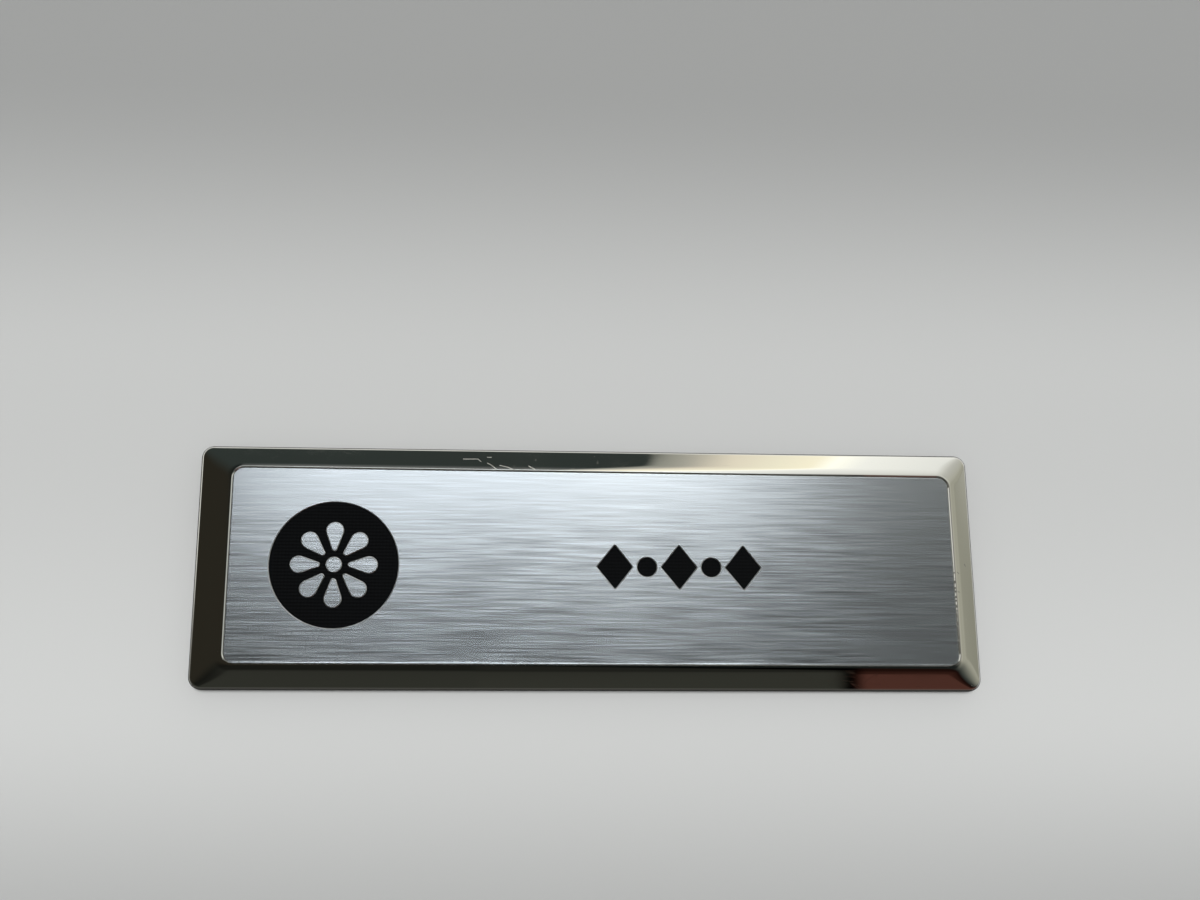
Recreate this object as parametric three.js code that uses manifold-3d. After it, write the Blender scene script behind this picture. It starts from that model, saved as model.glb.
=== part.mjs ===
// A framed metal name badge, lying face up on the plain fastening bar of its back.
// Millimetres. X runs along the badge, Y up its face and Z out of its face.
// The origin is under the middle of the frame, on the surface that the badge lies on.

import * as THREE from 'three';
import { mergeVertices } from 'three/addons/utils/BufferGeometryUtils.js';
import Module from 'manifold-3d';

// Frame
const frameWidth = 76;
const frameHeight = 23.7;
const outerCornerRadius = 1.2;
const wallHeight = 0.8;
const wallEdgeRadius = 0.3;
const backEdgeRadius = 0.15;
const bevelRise = 0.9;
const bevelRun = 2.3;
const leftBevelRun = 3.2;
const lipRadius = 0.3;
const openingCornerRadius = 1.1;

// Face plate
const plateThickness = 0.5;
const plateDrop = 0.12;
const plateClearance = 0.08;
const plateEdgeRadius = 0.05;

// Engraving and its enamel
const engravedDepth = 0.25;
const enamelThickness = 0.12;
const enamelClearance = 0.03;

// Emblem: a rosette of bright petals round a boss, in a black disc
const emblemRadius = 6.15;
const emblemFromOpening = 10;
const rosetteRadius = 4.2;
const petalCount = 8;
const petalTipRadius = 0.86;
const petalRootRadius = 0.28;
const petalRootDistance = 1.6;
const bossRadius = 0.78;

// Marks: a row of lozenges with round dots between them
const lozengeCount = 3;
const lozengeWidth = 3.5;
const lozengeHeight = 4.4;
const dotDiameter = 1.9;
const markSpacing = 0.45;

// Fastening bar on the back
const barLength = 45;
const barWidth = 13;
const barThickness = 1;
const barCornerRadius = 2;
const barEdgeRadius = 0.2;

// Film of glue between two pieces
const glueFilm = 0.03;

// Fineness of round forms: the flats in half a corner, in an edge, and in half of each other arc
const cornerSteps = 4;
const edgeSteps = 4;
const emblemSteps = 36;
const petalSteps = 6;
const dotSteps = 12;

// Heights
const frameBack = barThickness + glueFilm;
const wallTop = frameBack + wallHeight;
const bevelTop = wallTop + bevelRise;
const bevelSlope = Math.atan2(bevelRise, bevelRun);
const quarterTurn = Math.PI / 2;
const lipTurn = quarterTurn + bevelSlope;
const lipCentreHeight = bevelTop - lipRadius * Math.tan(lipTurn / 2);
const plateFace = lipCentreHeight + lipRadius - plateDrop;
const plateBack = plateFace - plateThickness;
const recessFloor = plateBack - glueFilm;
const pocketFloor = plateFace - engravedDepth;
const enamelBack = pocketFloor + glueFilm;

// Outlines, as the places of their four sides and the radius of their corners
const outer = {
  left: -frameWidth / 2,
  right: frameWidth / 2,
  bottom: -frameHeight / 2,
  top: frameHeight / 2,
  radius: outerCornerRadius,
};
const opening = {
  left: outer.left + leftBevelRun,
  right: outer.right - bevelRun,
  bottom: outer.bottom + bevelRun,
  top: outer.top - bevelRun,
  radius: openingCornerRadius,
};
const plate = grown(opening, -plateClearance);
const bar = {
  left: -barLength / 2,
  right: barLength / 2,
  bottom: -barWidth / 2,
  top: barWidth / 2,
  radius: barCornerRadius,
};

const emblemCentreX = opening.left + emblemFromOpening;
const marksCentreX = (emblemCentreX + emblemRadius + opening.right) / 2;

const materials = {
  polishedSteel: new THREE.MeshStandardMaterial({ color: 0xb9b8ad, roughness: 0.08, metalness: 1 }),
  brushedSteel: new THREE.MeshStandardMaterial({ color: 0xb4bac0, roughness: 0.32, metalness: 1 }),
  blackEnamel: new THREE.MeshStandardMaterial({ color: 0x0b0c0d, roughness: 0.6, metalness: 0 }),
  platedSteel: new THREE.MeshStandardMaterial({ color: 0xa3a5a6, roughness: 0.35, metalness: 1 }),
};

const wasm = await Module();
wasm.setup();

// The same outline, larger by a distance on every side, or smaller by a negative one.
function grown(outline, distance) {
  return {
    left: outline.left - distance,
    right: outline.right + distance,
    bottom: outline.bottom - distance,
    top: outline.top + distance,
    radius: outline.radius + distance,
  };
}

// A section of a solid: an outline, grown by a distance, at a height.
function section(outline, distance, height) {
  return { ...grown(outline, distance), height };
}

// Sections round an edge. The arc has its centre a radius inside the outline, at a height, and its
// angle runs from the outline's own direction, 0, to straight up, a quarter turn. A hollow's edge
// is the same arc seen from inside, so its sections lie outside the outline.
function edgeSections(outline, radius, centreHeight, fromAngle, toAngle, side) {
  const sections = [];
  for (let step = 0; step <= edgeSteps; step += 1) {
    const angle = THREE.MathUtils.lerp(fromAngle, toAngle, step / edgeSteps);
    const inset = radius * (1 - Math.cos(angle));
    sections.push(section(outline, side * inset, centreHeight + radius * Math.sin(angle)));
  }
  return sections;
}

// Fits a corner coordinate of the pattern, which runs from 1 to 2 on either side of the middle,
// between two sides of an outline.
function fitted(coordinate, low, high, radius) {
  const side = Math.sign(coordinate);
  const corner = side > 0 ? high - radius : low + radius;
  return corner + radius * (coordinate - side);
}

// A closed solid through sections of rounded outlines, in their order from the back to the front.
// A rounded square is extruded with one step for each section, and each ring is then fitted to its
// section. The first and last sections close it with flat faces.
function throughSections(sections) {
  const pattern = new THREE.Shape();
  pattern.absarc(1, -1, 1, -quarterTurn, 0);
  pattern.absarc(1, 1, 1, 0, quarterTurn);
  pattern.absarc(-1, 1, 1, quarterTurn, 2 * quarterTurn);
  pattern.absarc(-1, -1, 1, 2 * quarterTurn, 3 * quarterTurn);
  const steps = sections.length - 1;
  const geometry = new THREE.ExtrudeGeometry(pattern, {
    depth: steps,
    steps,
    curveSegments: cornerSteps,
    bevelEnabled: false,
  });
  const position = geometry.getAttribute('position');
  for (let i = 0; i < position.count; i += 1) {
    const ring = sections[Math.round(position.getZ(i))];
    const x = fitted(position.getX(i), ring.left, ring.right, ring.radius);
    const y = fitted(position.getY(i), ring.bottom, ring.top, ring.radius);
    position.setXYZ(i, x, y, ring.height);
  }
  geometry.computeVertexNormals();
  return geometry;
}

// A flat outline with holes, as thick as the depth, standing on a height.
function slab(outline, depth, height) {
  const geometry = new THREE.ExtrudeGeometry(outline, { depth, bevelEnabled: false });
  geometry.translate(0, 0, height);
  return geometry;
}

// The geometry as a solid that can be joined and cut.
function solidOf(geometry) {
  const bare = geometry.clone();
  bare.deleteAttribute('normal');
  bare.deleteAttribute('uv');
  const merged = mergeVertices(bare);
  return new wasm.Manifold(
    new wasm.Mesh({
      numProp: 3,
      vertProperties: merged.getAttribute('position').array,
      triVerts: Uint32Array.from(merged.index.array),
    }),
  );
}

// The solid as a geometry with flat faces.
function geometryOf(solid) {
  const mesh = solid.getMesh();
  const indexed = new THREE.BufferGeometry();
  indexed.setAttribute('position', new THREE.BufferAttribute(mesh.vertProperties, 3));
  indexed.setIndex(new THREE.BufferAttribute(mesh.triVerts, 1));
  const geometry = indexed.toNonIndexed();
  geometry.computeVertexNormals();
  return geometry;
}

function mesh(name, geometry, material) {
  const piece = new THREE.Mesh(geometry, material);
  piece.name = name;
  return piece;
}

// The outline drawn with straight flats, so that a pocket and its enamel have the same flats.
function faceted(outline, steps) {
  return new THREE.Shape(outline.getPoints(steps));
}

// A circle, larger by a margin.
function circle(centreX, radius, margin, steps) {
  const outline = new THREE.Shape();
  outline.absarc(centreX, 0, radius + margin, 0, 4 * quarterTurn);
  return faceted(outline, steps);
}

// A petal that points away from the emblem's centre, larger by a margin: a small root arc and a
// wider tip arc, joined by the straight lines that touch both.
function petal(direction, margin) {
  const tipDistance = rosetteRadius - petalTipRadius;
  const touch = Math.acos((petalRootRadius - petalTipRadius) / (tipDistance - petalRootDistance));
  const across = Math.cos(direction);
  const up = Math.sin(direction);
  const outline = new THREE.Shape();
  outline.absarc(
    emblemCentreX + tipDistance * across,
    tipDistance * up,
    petalTipRadius + margin,
    direction - touch,
    direction + touch,
  );
  outline.absarc(
    emblemCentreX + petalRootDistance * across,
    petalRootDistance * up,
    petalRootRadius + margin,
    direction + touch,
    direction + 4 * quarterTurn - touch,
  );
  return faceted(outline, petalSteps);
}

// The bright figure of the emblem, as separate outlines, each larger by a margin.
function rosetteOutlines(margin) {
  const outlines = [circle(emblemCentreX, bossRadius, margin, dotSteps)];
  for (let i = 0; i < petalCount; i += 1) {
    outlines.push(petal(quarterTurn + (i * 4 * quarterTurn) / petalCount, margin));
  }
  return outlines;
}

// A lozenge, smaller by a margin on each side.
function lozenge(centreX, margin) {
  const halfWidth = lozengeWidth / 2;
  const halfHeight = lozengeHeight / 2;
  const side = Math.hypot(halfWidth, halfHeight);
  const x = halfWidth - (margin * side) / halfHeight;
  const y = halfHeight - (margin * side) / halfWidth;
  const outline = new THREE.Shape();
  outline.moveTo(centreX + x, 0);
  outline.lineTo(centreX, y);
  outline.lineTo(centreX - x, 0);
  outline.lineTo(centreX, -y);
  outline.closePath();
  return outline;
}

// The marks from left to right, each smaller by a margin.
function markOutlines(margin) {
  const pitch = lozengeWidth + dotDiameter + 2 * markSpacing;
  const firstX = marksCentreX - (pitch * (lozengeCount - 1)) / 2;
  const outlines = [lozenge(firstX, margin)];
  for (let i = 1; i < lozengeCount; i += 1) {
    const centreX = firstX + i * pitch;
    outlines.push(circle(centreX - pitch / 2, dotDiameter / 2, -margin, dotSteps));
    outlines.push(lozenge(centreX, margin));
  }
  return outlines;
}

// Polished frame: back, wall, rounded outer edge, bevel, rounded lip and the recess for the plate.
// The bevel's upper and lower ends follow the outer outline and the opening, so a wider bevel on
// one side rises by the same height.
function bezelFrame() {
  const edgeTurn = quarterTurn - bevelSlope;
  const edgeCentreHeight = wallTop - wallEdgeRadius * Math.tan(edgeTurn / 2);
  const sections = [
    section(outer, -backEdgeRadius, frameBack),
    section(outer, 0, frameBack + backEdgeRadius),
    ...edgeSections(outer, wallEdgeRadius, edgeCentreHeight, 0, edgeTurn, -1),
    ...edgeSections(opening, lipRadius, lipCentreHeight, lipTurn, 0, 1),
    section(opening, 0, recessFloor),
  ];
  return mesh('bezel_frame', throughSections(sections), materials.polishedSteel);
}

// A cutter for a pocket: it stands on the pocket's floor and reaches out of the plate's face.
function cutter(outline) {
  return solidOf(slab(outline, plateThickness, pocketFloor));
}

// Brushed plate with its engraved pockets. The rosette stays standing in the emblem's pocket.
function facePlate() {
  const edgeCentreHeight = plateFace - plateEdgeRadius;
  const blank = solidOf(
    throughSections([
      section(plate, 0, plateBack),
      ...edgeSections(plate, plateEdgeRadius, edgeCentreHeight, 0, quarterTurn, -1),
    ]),
  );
  const rosette = rosetteOutlines(0)
    .map(cutter)
    .reduce((joined, part) => joined.add(part));
  const emblemPocket = cutter(circle(emblemCentreX, emblemRadius, 0, emblemSteps)).subtract(rosette);
  const pockets = [emblemPocket, ...markOutlines(0).map(cutter)];
  const engraved = pockets.reduce((left, pocket) => left.subtract(pocket), blank);
  return mesh('face_plate', geometryOf(engraved), materials.brushedSteel);
}

// Black ground of the emblem, with an opening for each part of the rosette.
function emblemEnamel() {
  const outline = circle(emblemCentreX, emblemRadius, -enamelClearance, emblemSteps);
  outline.holes = rosetteOutlines(enamelClearance);
  return mesh('emblem_enamel', slab(outline, enamelThickness, enamelBack), materials.blackEnamel);
}

function nameMarks() {
  return markOutlines(enamelClearance).map((outline, i) =>
    mesh(`name_mark_${i + 1}`, slab(outline, enamelThickness, enamelBack), materials.blackEnamel),
  );
}

// Plain bar with round corners and softened edges, on the middle of the back.
function fasteningBar() {
  const sections = [
    section(bar, -barEdgeRadius, 0),
    section(bar, 0, barEdgeRadius),
    section(bar, 0, barThickness - barEdgeRadius),
    section(bar, -barEdgeRadius, barThickness),
  ];
  return mesh('fastening_bar', throughSections(sections), materials.platedSteel);
}

const badge = new THREE.Group();
badge.add(bezelFrame(), facePlate(), emblemEnamel(), ...nameMarks(), fasteningBar());

export default badge;
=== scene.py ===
"""A framed metal name badge, lying face up on its fastening bar: fine surfaces and finishes."""

import math

import bmesh
import bpy
import numpy as np
from mathutils import Matrix, Vector
from mathutils.geometry import delaunay_2d_cdt


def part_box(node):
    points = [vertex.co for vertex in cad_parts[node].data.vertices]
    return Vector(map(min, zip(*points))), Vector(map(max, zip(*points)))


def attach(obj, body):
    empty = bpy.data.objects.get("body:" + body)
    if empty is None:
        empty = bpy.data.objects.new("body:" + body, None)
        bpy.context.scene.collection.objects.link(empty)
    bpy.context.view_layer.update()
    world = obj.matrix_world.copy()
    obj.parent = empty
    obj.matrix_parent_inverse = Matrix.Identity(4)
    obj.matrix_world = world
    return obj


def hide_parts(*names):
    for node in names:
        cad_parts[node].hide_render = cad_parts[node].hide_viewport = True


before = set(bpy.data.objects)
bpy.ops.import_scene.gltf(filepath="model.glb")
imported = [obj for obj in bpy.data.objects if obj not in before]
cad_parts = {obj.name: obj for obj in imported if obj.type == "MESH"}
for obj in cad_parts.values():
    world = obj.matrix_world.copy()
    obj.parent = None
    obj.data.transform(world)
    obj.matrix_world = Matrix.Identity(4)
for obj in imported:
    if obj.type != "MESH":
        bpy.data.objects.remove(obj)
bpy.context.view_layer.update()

MM = 0.001

# Sizes of the frame's profile and of the opening in it
WALL_HEIGHT = 0.8 * MM
WALL_EDGE_RADIUS = 0.4 * MM
BACK_EDGE_RADIUS = 0.15 * MM
BEVEL_RISE = 0.9 * MM
BEVEL_RUN = 2.3 * MM
INNER_LIP = 0.1 * MM
INNER_LIP_FLATNESS = 1.9
BOTTOM_LIP_SHARE = 0.15
NARROWED_REACH = 0.6 * MM
LIP_UNEVENNESS = 0.005 * MM
NICK_DEPTH = 0.03 * MM
OUTER_CORNER_RADIUS = 1.2 * MM
OPENING_CORNER_RADIUS = 1.1 * MM
PLATE_CLEARANCE = 0.08 * MM
RECESS_GAP = 0.03 * MM
BEVEL_CROWN = 0.01 * MM
ROLL_SHARE = 0.88
MITRE_SOFTNESS = 0.6 * MM

# Sizes of the plate, its engraving and the bar
PLATE_EDGE_RADIUS = 0.05 * MM
SEEN_GAP_LEFT = 0.03 * MM
SEEN_GAP_BOTTOM = 0.05 * MM
SEEN_GAP_RIGHT = 0.02 * MM
SEEN_GAP_TOP = 0.015 * MM
OPENING_RIGHT_SHIFT = 0.08 * MM
OPENING_TOP_TAPER = 0.16 * MM
PLATE_TOP_TAPER = 0.19 * MM
TURNED_UP_WIDTH = 0.18 * MM
TURNED_UP_HEIGHT = 0.009 * MM
ENGRAVED_DEPTH = 0.25 * MM
CUT_EDGE = 0.07 * MM
ENAMEL_SEAT_GAP = 0.012 * MM
ENAMEL_EDGE = 0.03 * MM
ROSETTE_RADIUS = 4.2 * MM
PETAL_COUNT = 8
PETAL_TIP_RADIUS = 0.86 * MM
PETAL_ROOT_RADIUS = 0.28 * MM
PETAL_ROOT_DISTANCE = 1.6 * MM
BOSS_RADIUS = 0.78 * MM
ENAMEL_CLEARANCE = 0.03 * MM
MARK_CORNER_RADIUS = 0.1 * MM
BAR_CORNER_RADIUS = 2 * MM
BAR_EDGE_RADIUS = 0.2 * MM
RASTER_PITCH = 0.33 * MM
RASTER_JAG = 0.02 * MM

# A narrow flat strip beside each rounded edge keeps the light on the flat faces even
FLAT_STRIP = 0.02 * MM

# Fineness of round forms
CORNER_STEPS = 14
SIDE_STEPS = 150
EDGE_STEPS = 8
BEVEL_STEPS = 28
WALL_STEPS = 6
DULL_EDGE_STEPS = 5
TURNED_UP_STEPS = 4
EMBLEM_STEPS = 288
BOSS_STEPS = 48
PETAL_STEPS = 24
DOT_STEPS = 96
LOZENGE_CORNER_STEPS = 8

# Reach of the map that tells the brushing's direction
MAP_REACH = 80 * MM

QUARTER_TURN = math.pi / 2


def solid_box(node):
    """Low and high corner of a solid, as arrays."""
    low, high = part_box(node)
    return np.array(low), np.array(high)


FRAME_LOW, FRAME_HIGH = solid_box("bezel_frame")
PLATE_LOW, PLATE_HIGH = solid_box("face_plate")
EMBLEM_LOW, EMBLEM_HIGH = solid_box("emblem_enamel")
BAR_LOW, BAR_HIGH = solid_box("fastening_bar")
PLATE_FACE = PLATE_HIGH[2]
POCKET_FLOOR = PLATE_FACE - ENGRAVED_DEPTH
ENAMEL_FACE = EMBLEM_HIGH[2]
EMBLEM_RADIUS = (EMBLEM_HIGH[0] - EMBLEM_LOW[0]) / 2 + ENAMEL_CLEARANCE
EMBLEM_CENTRE = (EMBLEM_LOW[:2] + EMBLEM_HIGH[:2]) / 2
MARK_NODES = [f"name_mark_{i}" for i in range(1, 6)]


# Outlines. Each is the line round a row of circles, pulled tight: centres, radii and steps per arc.

def rounded_box(low, high, radius):
    """The outline of a rectangle with round corners: one circle in each corner, anticlockwise."""
    left, bottom = low[:2] + radius
    right, top = high[:2] - radius
    centres = np.array([[right, top], [left, top], [left, bottom], [right, bottom]])
    return centres, np.full(4, radius), CORNER_STEPS


def petal(direction):
    """A petal: a small circle near the emblem's centre and a wider one at the rosette's edge."""
    along = np.array([math.cos(direction), math.sin(direction)])
    distances = np.array([ROSETTE_RADIUS - PETAL_TIP_RADIUS, PETAL_ROOT_DISTANCE])
    centres = EMBLEM_CENTRE + distances[:, None] * along
    return centres, np.array([PETAL_TIP_RADIUS, PETAL_ROOT_RADIUS]), PETAL_STEPS


def disc(centre, radius, steps):
    """A round outline."""
    return np.array([centre]), np.array([radius]), steps


def mark_outline(node):
    """The pocket outline of a mark: round if its box is square, and else a lozenge.
    A lozenge's corners are small circles that touch its four sides from inside."""
    low, high = solid_box(node)
    centre = (low + high)[:2] / 2
    half = (high - low)[:2] / 2
    if abs(half[0] - half[1]) < 0.1 * MM:
        return disc(centre, half[0] + ENAMEL_CLEARANCE, DOT_STEPS)
    slant = np.hypot(*half)
    inset = (MARK_CORNER_RADIUS - ENAMEL_CLEARANCE) * slant / half[::-1]
    across, up = half - inset
    centres = centre + np.array([[across, 0], [0, up], [-across, 0], [0, -up]])
    return centres, np.full(4, MARK_CORNER_RADIUS), LOZENGE_CORNER_STEPS


def outline_points(outline, grow, side_steps=0):
    """Points of an outline grown by a distance, anticlockwise, as an array of (points, 2).
    From circle i to the next, the common tangent's outward normal has the angle phi - acos((ri -
    rj) / L), with phi and L the direction and length between their centres. Each arc runs from the
    last tangent's normal to the next one's, and straight sides may be divided evenly."""
    centres, radii, steps = outline
    grown = radii + grow
    if len(centres) == 1:
        angle = np.linspace(0, 2 * math.pi, steps, endpoint=False)
        return centres + grown * np.column_stack([np.cos(angle), np.sin(angle)])
    to_next = np.roll(centres, -1, axis=0) - centres
    length = np.linalg.norm(to_next, axis=1)
    bearing = np.arctan2(to_next[:, 1], to_next[:, 0])
    leave = bearing - np.arccos((radii - np.roll(radii, -1)) / length)
    arrive = np.roll(leave, 1)
    turn = np.mod(leave - arrive, 2 * math.pi)
    angle = arrive[:, None] + turn[:, None] * np.linspace(0, 1, steps + 1)
    direction = np.stack([np.cos(angle), np.sin(angle)], axis=-1)
    arcs = centres[:, None] + grown[:, None, None] * direction
    share = np.linspace(0, 1, side_steps + 2)[1:-1, None]
    starts = arcs[:, -1][:, None]
    ends = np.roll(arcs[:, 0], -1, axis=0)[:, None]
    sides = starts + (ends - starts) * share
    return np.concatenate([arcs, sides], axis=1).reshape(-1, 2)


def raised(points, height):
    """Flat points at a height."""
    return np.column_stack([points, np.full(len(points), height)])


def side_ring(outline, grow, height):
    """A ring round a grown outline, with its sides divided, at a height."""
    return raised(outline_points(outline, grow, SIDE_STEPS), height)


def wobble(distance, lengths, depth):
    """A smooth unevenness: a sum of sine waves of the given lengths, each with its own start."""
    waves = [np.sin(2 * math.pi * distance / length + 1.7 * i) for i, length in enumerate(lengths)]
    return depth * sum(waves) / len(lengths)


# Meshes from rings

class Surface:
    """Collects rings of points and the faces between them, and makes one closed mesh of them."""

    def __init__(self):
        self.points = []
        self.faces = []
        self.finishes = []
        self.count = 0

    def add_points(self, points):
        """Keeps points and gives the number of the first."""
        first = self.count
        self.points.append(points)
        self.count += len(points)
        return first

    def strip(self, rings, finish=0, outward=True):
        """Faces between rings of equal length, each ring joined to the next. The rings run
        anticlockwise and from back to front, or inward is given for the opposite order."""
        rings = np.array(rings)
        layers, size = rings.shape[:2]
        first = self.add_points(rings.reshape(-1, 3))
        index = first + np.arange(layers * size).reshape(layers, size)
        here, after = index, np.roll(index, -1, axis=1)
        quads = np.stack([here[:-1], after[:-1], after[1:], here[1:]], axis=-1).reshape(-1, 4)
        if not outward:
            quads = quads[:, ::-1]
        self.faces.extend(quads.tolist())
        self.finishes.extend([finish] * len(quads))

    def flat(self, ring, facing_up=True, finish=0):
        """One flat face inside a ring."""
        first = self.add_points(ring)
        order = list(range(first, first + len(ring)))
        self.faces.append(order if facing_up else order[::-1])
        self.finishes.append(finish)

    def flat_with_holes(self, ring, holes, finish=0):
        """A flat face that looks up, inside a ring and outside its holes, in triangles."""
        points = np.concatenate([ring, *holes])
        first = self.add_points(points)
        starts = np.cumsum([0] + [len(loop) for loop in (ring, *holes)])
        loops = [list(range(a, b)) for a, b in zip(starts, starts[1:])]
        flat_points = [Vector(p[:2]) / MM for p in points]
        filled = delaunay_2d_cdt(flat_points, [], loops, 1, 1e-6)
        triangles, sources, inside = filled[2], filled[3], filled[5]
        for corners, owners in zip(triangles, inside):
            if owners == [0]:
                self.faces.append([first + sources[corner][0] for corner in corners])
                self.finishes.append(finish)

    def piece(self, name, materials):
        """The closed mesh as an object, with its seams joined and a map across and along it."""
        mesh = bpy.data.meshes.new(name)
        mesh.from_pydata(np.concatenate(self.points).tolist(), [], self.faces)
        for material in materials:
            mesh.materials.append(material)
        mesh.polygons.foreach_set("material_index", self.finishes)
        mesh.polygons.foreach_set("use_smooth", [True] * len(self.faces))
        joined = bmesh.new()
        joined.from_mesh(mesh)
        bmesh.ops.remove_doubles(joined, verts=joined.verts, dist=1e-8)
        joined.to_mesh(mesh)
        joined.free()
        add_brushing_map(mesh)
        piece = bpy.data.objects.new(name, mesh)
        bpy.context.scene.collection.objects.link(piece)
        return piece


def add_brushing_map(mesh):
    """A map whose first direction runs across the brushing, along Y, and the second along X."""
    corner_vertex = np.empty(len(mesh.loops), dtype=np.int32)
    mesh.loops.foreach_get("vertex_index", corner_vertex)
    points = np.empty(len(mesh.vertices) * 3)
    mesh.vertices.foreach_get("co", points)
    points = points.reshape(-1, 3)[corner_vertex] / MAP_REACH
    brushing = mesh.uv_layers.new(name="brushing")
    brushing.data.foreach_set("uv", np.column_stack([points[:, 1], points[:, 0]]).ravel() + 0.5)


def place(piece, slot, *nodes):
    """Attaches a piece to the root body and hides the parts that it stands for."""
    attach(piece, "root")
    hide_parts(*nodes)
    return piece


def edge_arc(radius, from_angle, to_angle, flatness=1):
    """Insets and rises of an edge that starts upright at angle 0 and lies flat at a quarter turn:
    radius (1 - cos(angle) ** flatness) and radius sin(angle) ** flatness. It is a circle's arc at
    flatness 1 and nears a straight chamfer at 2."""
    angle = np.linspace(from_angle, to_angle, EDGE_STEPS + 1)
    cosine = np.clip(np.cos(angle), 0, 1)
    return radius * (1 - cosine**flatness), radius * np.sin(angle) ** flatness


def eased(steps):
    """Shares from 0 to 1, closer together at both ends."""
    return (1 - np.cos(np.linspace(0, math.pi, steps + 1))) / 2


# Pieces

def opening_corners():
    """Low and high corner of the frame's opening, on the face."""
    high = PLATE_HIGH[:2] + PLATE_CLEARANCE
    return PLATE_LOW[:2] - PLATE_CLEARANCE, high + np.array([OPENING_RIGHT_SHIFT, 0])


def frame_side(outer, edge_turn):
    """Rings up the frame's outside: the back edge's round, the upright wall and the outer edge's
    round, which turns until it meets the bevel."""
    low_wall = FRAME_LOW[2] + BACK_EDGE_RADIUS
    high_wall = FRAME_LOW[2] + WALL_HEIGHT - WALL_EDGE_RADIUS * math.tan(edge_turn / 2)
    rings = []
    for inset, rise in zip(*edge_arc(BACK_EDGE_RADIUS, QUARTER_TURN, 0)):
        rings.append(side_ring(outer, -inset, low_wall - rise))
    for share in eased(WALL_STEPS)[1:-1]:
        rings.append(side_ring(outer, 0, low_wall + share * (high_wall - low_wall)))
    for inset, rise in zip(*edge_arc(WALL_EDGE_RADIUS, 0, edge_turn)):
        rings.append(side_ring(outer, -inset, high_wall + rise))
    return rings


def frame_lip(opening, wall, bottom):
    """Rings of the lip, from its crest down to the opening's wall."""
    rings = []
    for outset, rise in zip(*edge_arc(INNER_LIP, QUARTER_TURN, 0, INNER_LIP_FLATNESS)):
        ring = side_ring(opening, outset, FRAME_HIGH[2] - INNER_LIP + rise)
        rings.append(tapered(ring, OPENING_TOP_TAPER))
    return worn_lip(narrowed_below(np.array(rings), wall, bottom))


def frame_bevel(foot, top, outer, opening, straight):
    """Rings of the bevel between its foot and the lip. It rises by a share of t - k s s / (2 - 2 t0),
    with s = max(0, t - t0) and k the roll's share: straight up to the share t0, then rolling until
    it is nearly level at the crest of the lip. A slight crown, crown * 4 t (1 - t), lies on top, up
    to the crest's height."""
    rings = []
    for share in eased(BEVEL_STEPS)[1:-1]:
        rolled = max(0, share - straight)
        rise = share - ROLL_SHARE * rolled**2 / (2 - 2 * straight)
        rise /= 1 - ROLL_SHARE * (1 - straight) / 2
        ring = foot + share * (top - foot)
        ring[:, :2] += softened_mitre(outer, opening, share)
        ring[:, 2] = foot[:, 2] + rise * (top[:, 2] - foot[:, 2])
        ring[:, 2] += BEVEL_CROWN * 4 * share * (1 - share)
        ring[:, 2] = np.minimum(ring[:, 2], FRAME_HIGH[2])
        rings.append(ring)
    return rings


def bezel_frame(polished, dull_painted_dark):
    """The polished frame, as rings from the back to the recess floor. The side's rings follow the
    outer outline and the lip's the opening, with the bevel's between them. The back, the wall and
    the start of the outer edge's round are dull, and painted dark as shade."""
    outer = rounded_box(FRAME_LOW, FRAME_HIGH, OUTER_CORNER_RADIUS)
    opening_low, opening_high = opening_corners()
    opening = rounded_box(opening_low, opening_high, OPENING_CORNER_RADIUS)
    slope = math.atan2(BEVEL_RISE, BEVEL_RUN)
    edge_turn = QUARTER_TURN - slope
    side = frame_side(outer, edge_turn)
    recess = tapered(side_ring(opening, 0, PLATE_LOW[2] - RECESS_GAP), OPENING_TOP_TAPER)
    lip = frame_lip(opening, recess, opening_low[1])
    bevel_top = FRAME_LOW[2] + WALL_HEIGHT + BEVEL_RISE
    width = BEVEL_RUN - WALL_EDGE_RADIUS * (1 - math.cos(edge_turn))
    roll_start = 2 * (bevel_top - FRAME_HIGH[2]) / (ROLL_SHARE * math.tan(slope)) - INNER_LIP
    straight = (width - roll_start) / (width - INNER_LIP)
    rings = [*side, *frame_bevel(side[-1], lip[0], outer, opening, straight), *lip, recess]
    back = side_ring(outer, -BACK_EDGE_RADIUS - FLAT_STRIP, FRAME_LOW[2])
    dull_count = len(side) - EDGE_STEPS + DULL_EDGE_STEPS
    surface = Surface()
    surface.flat(back, facing_up=False, finish=1)
    surface.strip([back, *rings[:dull_count]], finish=1)
    surface.strip(rings[dull_count - 1:])
    surface.flat(recess)
    piece = surface.piece("polished_frame", [polished, dull_painted_dark])
    return place(piece, "polished_steel", "bezel_frame")


def softened_mitre(outer, opening, share):
    """How far the bevel's points move in to round its mitres: the difference between two outlines
    at this share of the way in, of which one has a corner radius larger by softness * 4 t (1 - t)."""
    middle = [(1 - share) * a + share * b for a, b in zip(outer[0], opening[0])]
    radius = (1 - share) * OUTER_CORNER_RADIUS + share * OPENING_CORNER_RADIUS
    low, high = np.array(middle[2]) - radius, np.array(middle[0]) + radius
    rounder = radius + MITRE_SOFTNESS * 4 * share * (1 - share)
    soft = outline_points(rounded_box(low, high, rounder), 0, SIDE_STEPS)
    return soft - outline_points(rounded_box(low, high, radius), 0, SIDE_STEPS)


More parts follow.
